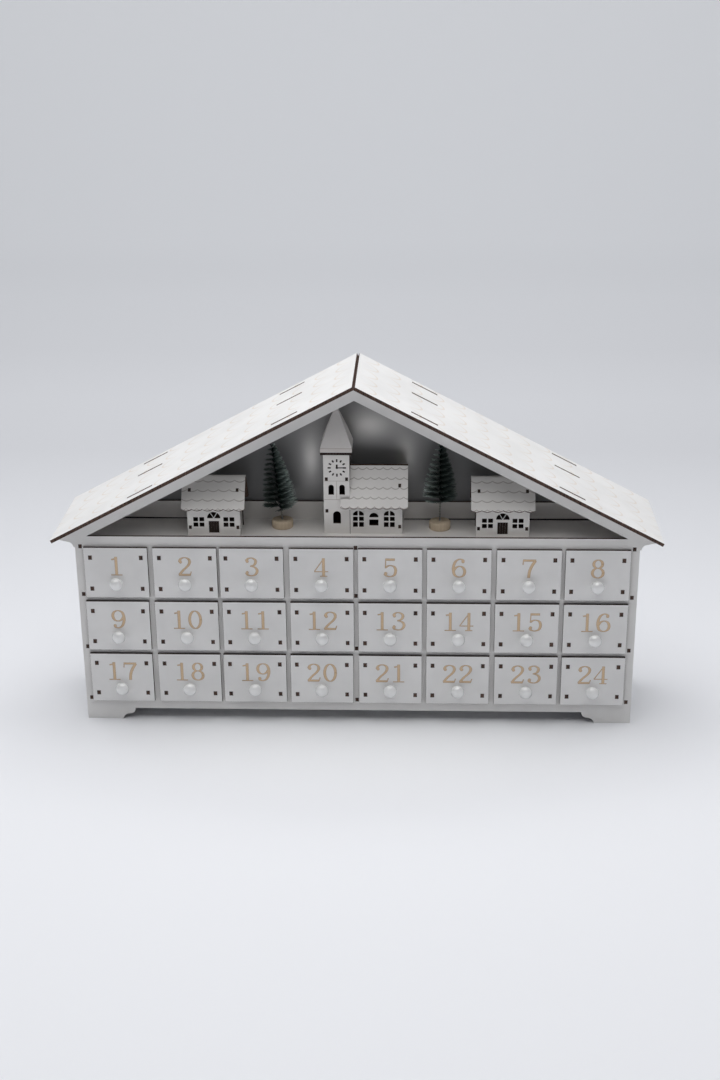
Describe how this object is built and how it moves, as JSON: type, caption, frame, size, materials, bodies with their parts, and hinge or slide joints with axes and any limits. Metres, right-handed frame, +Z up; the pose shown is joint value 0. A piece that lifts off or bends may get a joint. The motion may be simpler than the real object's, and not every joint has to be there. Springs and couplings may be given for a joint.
{
  "type": "advent calendar house",
  "caption": "White wooden advent calendar house: rows of small numbered pull-out drawers under a gable roof, with a miniature village on the stage above.",
  "frame": {"origin": "middle of the underside of the feet, at the middle of the overall width and depth", "axes": "+X to the right along the front, -Y out of the drawer fronts towards the viewer, +Z up"},
  "size_m": [0.4528, 0.095, 0.2704],
  "materials": {
    "white_board": "satin white paint with burnt brown cut edges",
    "mirror": "satin mirror",
    "bare_wood": "bare wood",
    "wire": "twisted wire",
    "bristle": "dark green bristles"
  },
  "bodies": {
    "cabinet": {"front_frame": "white_board", "back_panel": "white_board", "left_side_panel": "white_board", "right_side_panel": "white_board", "bottom_board": "white_board", "lower_shelf": "white_board", "upper_shelf": "white_board", "stage_floor": "white_board", "centre_divider": "white_board", "column_dividers": "white_board", "stage_backboard": "white_board", "mirror_sheet": "mirror", "stage_ledge": "white_board", "left_roof_panel": "white_board", "right_roof_panel": "white_board", "church_tower_front": "white_board", "church_tower_walls": "white_board", "church_spire": "white_board", "church_nave_front": "white_board", "church_nave_walls": "white_board", "church_nave_roof": "white_board", "left_cottage_front": "white_board", "left_cottage_walls": "white_board", "left_cottage_roof": "white_board", "right_cottage_front": "white_board", "right_cottage_walls": "white_board", "right_cottage_roof": "white_board", "left_tree_base": "bare_wood", "left_tree_stem": "wire", "left_tree_brush": "bristle", "right_tree_base": "bare_wood", "right_tree_stem": "wire", "right_tree_brush": "bristle"},
    "drawer_01_body": {"drawer_01": "white_board"},
    "drawer_02_body": {"drawer_02": "white_board"},
    "drawer_03_body": {"drawer_03": "white_board"},
    "drawer_04_body": {"drawer_04": "white_board"},
    "drawer_05_body": {"drawer_05": "white_board"},
    "drawer_06_body": {"drawer_06": "white_board"},
    "drawer_07_body": {"drawer_07": "white_board"},
    "drawer_08_body": {"drawer_08": "white_board"},
    "drawer_09_body": {"drawer_09": "white_board"},
    "drawer_10_body": {"drawer_10": "white_board"},
    "drawer_11_body": {"drawer_11": "white_board"},
    "drawer_12_body": {"drawer_12": "white_board"},
    "drawer_13_body": {"drawer_13": "white_board"},
    "drawer_14_body": {"drawer_14": "white_board"},
    "drawer_15_body": {"drawer_15": "white_board"},
    "drawer_16_body": {"drawer_16": "white_board"},
    "drawer_17_body": {"drawer_17": "white_board"},
    "drawer_18_body": {"drawer_18": "white_board"},
    "drawer_19_body": {"drawer_19": "white_board"},
    "drawer_20_body": {"drawer_20": "white_board"},
    "drawer_21_body": {"drawer_21": "white_board"},
    "drawer_22_body": {"drawer_22": "white_board"},
    "drawer_23_body": {"drawer_23": "white_board"},
    "drawer_24_body": {"drawer_24": "white_board"}
  },
  "joints": [
    {"name": "drawer_01_slide", "type": "slide", "parent": "cabinet", "child": "drawer_01_body", "axis": [0, -1, 0], "range_m": [0, 0.055]},
    {"name": "drawer_02_slide", "type": "slide", "parent": "cabinet", "child": "drawer_02_body", "axis": [0, -1, 0], "range_m": [0, 0.055]},
    {"name": "drawer_03_slide", "type": "slide", "parent": "cabinet", "child": "drawer_03_body", "axis": [0, -1, 0], "range_m": [0, 0.055]},
    {"name": "drawer_04_slide", "type": "slide", "parent": "cabinet", "child": "drawer_04_body", "axis": [0, -1, 0], "range_m": [0, 0.055]},
    {"name": "drawer_05_slide", "type": "slide", "parent": "cabinet", "child": "drawer_05_body", "axis": [0, -1, 0], "range_m": [0, 0.055]},
    {"name": "drawer_06_slide", "type": "slide", "parent": "cabinet", "child": "drawer_06_body", "axis": [0, -1, 0], "range_m": [0, 0.055]},
    {"name": "drawer_07_slide", "type": "slide", "parent": "cabinet", "child": "drawer_07_body", "axis": [0, -1, 0], "range_m": [0, 0.055]},
    {"name": "drawer_08_slide", "type": "slide", "parent": "cabinet", "child": "drawer_08_body", "axis": [0, -1, 0], "range_m": [0, 0.055]},
    {"name": "drawer_09_slide", "type": "slide", "parent": "cabinet", "child": "drawer_09_body", "axis": [0, -1, 0], "range_m": [0, 0.055]},
    {"name": "drawer_10_slide", "type": "slide", "parent": "cabinet", "child": "drawer_10_body", "axis": [0, -1, 0], "range_m": [0, 0.055]},
    {"name": "drawer_11_slide", "type": "slide", "parent": "cabinet", "child": "drawer_11_body", "axis": [0, -1, 0], "range_m": [0, 0.055]},
    {"name": "drawer_12_slide", "type": "slide", "parent": "cabinet", "child": "drawer_12_body", "axis": [0, -1, 0], "range_m": [0, 0.055]},
    {"name": "drawer_13_slide", "type": "slide", "parent": "cabinet", "child": "drawer_13_body", "axis": [0, -1, 0], "range_m": [0, 0.055]},
    {"name": "drawer_14_slide", "type": "slide", "parent": "cabinet", "child": "drawer_14_body", "axis": [0, -1, 0], "range_m": [0, 0.055]},
    {"name": "drawer_15_slide", "type": "slide", "parent": "cabinet", "child": "drawer_15_body", "axis": [0, -1, 0], "range_m": [0, 0.055]},
    {"name": "drawer_16_slide", "type": "slide", "parent": "cabinet", "child": "drawer_16_body", "axis": [0, -1, 0], "range_m": [0, 0.055]},
    {"name": "drawer_17_slide", "type": "slide", "parent": "cabinet", "child": "drawer_17_body", "axis": [0, -1, 0], "range_m": [0, 0.055]},
    {"name": "drawer_18_slide", "type": "slide", "parent": "cabinet", "child": "drawer_18_body", "axis": [0, -1, 0], "range_m": [0, 0.055]},
    {"name": "drawer_19_slide", "type": "slide", "parent": "cabinet", "child": "drawer_19_body", "axis": [0, -1, 0], "range_m": [0, 0.055]},
    {"name": "drawer_20_slide", "type": "slide", "parent": "cabinet", "child": "drawer_20_body", "axis": [0, -1, 0], "range_m": [0, 0.055]},
    {"name": "drawer_21_slide", "type": "slide", "parent": "cabinet", "child": "drawer_21_body", "axis": [0, -1, 0], "range_m": [0, 0.055]},
    {"name": "drawer_22_slide", "type": "slide", "parent": "cabinet", "child": "drawer_22_body", "axis": [0, -1, 0], "range_m": [0, 0.055]},
    {"name": "drawer_23_slide", "type": "slide", "parent": "cabinet", "child": "drawer_23_body", "axis": [0, -1, 0], "range_m": [0, 0.055]},
    {"name": "drawer_24_slide", "type": "slide", "parent": "cabinet", "child": "drawer_24_body", "axis": [0, -1, 0], "range_m": [0, 0.055]}
  ]
}
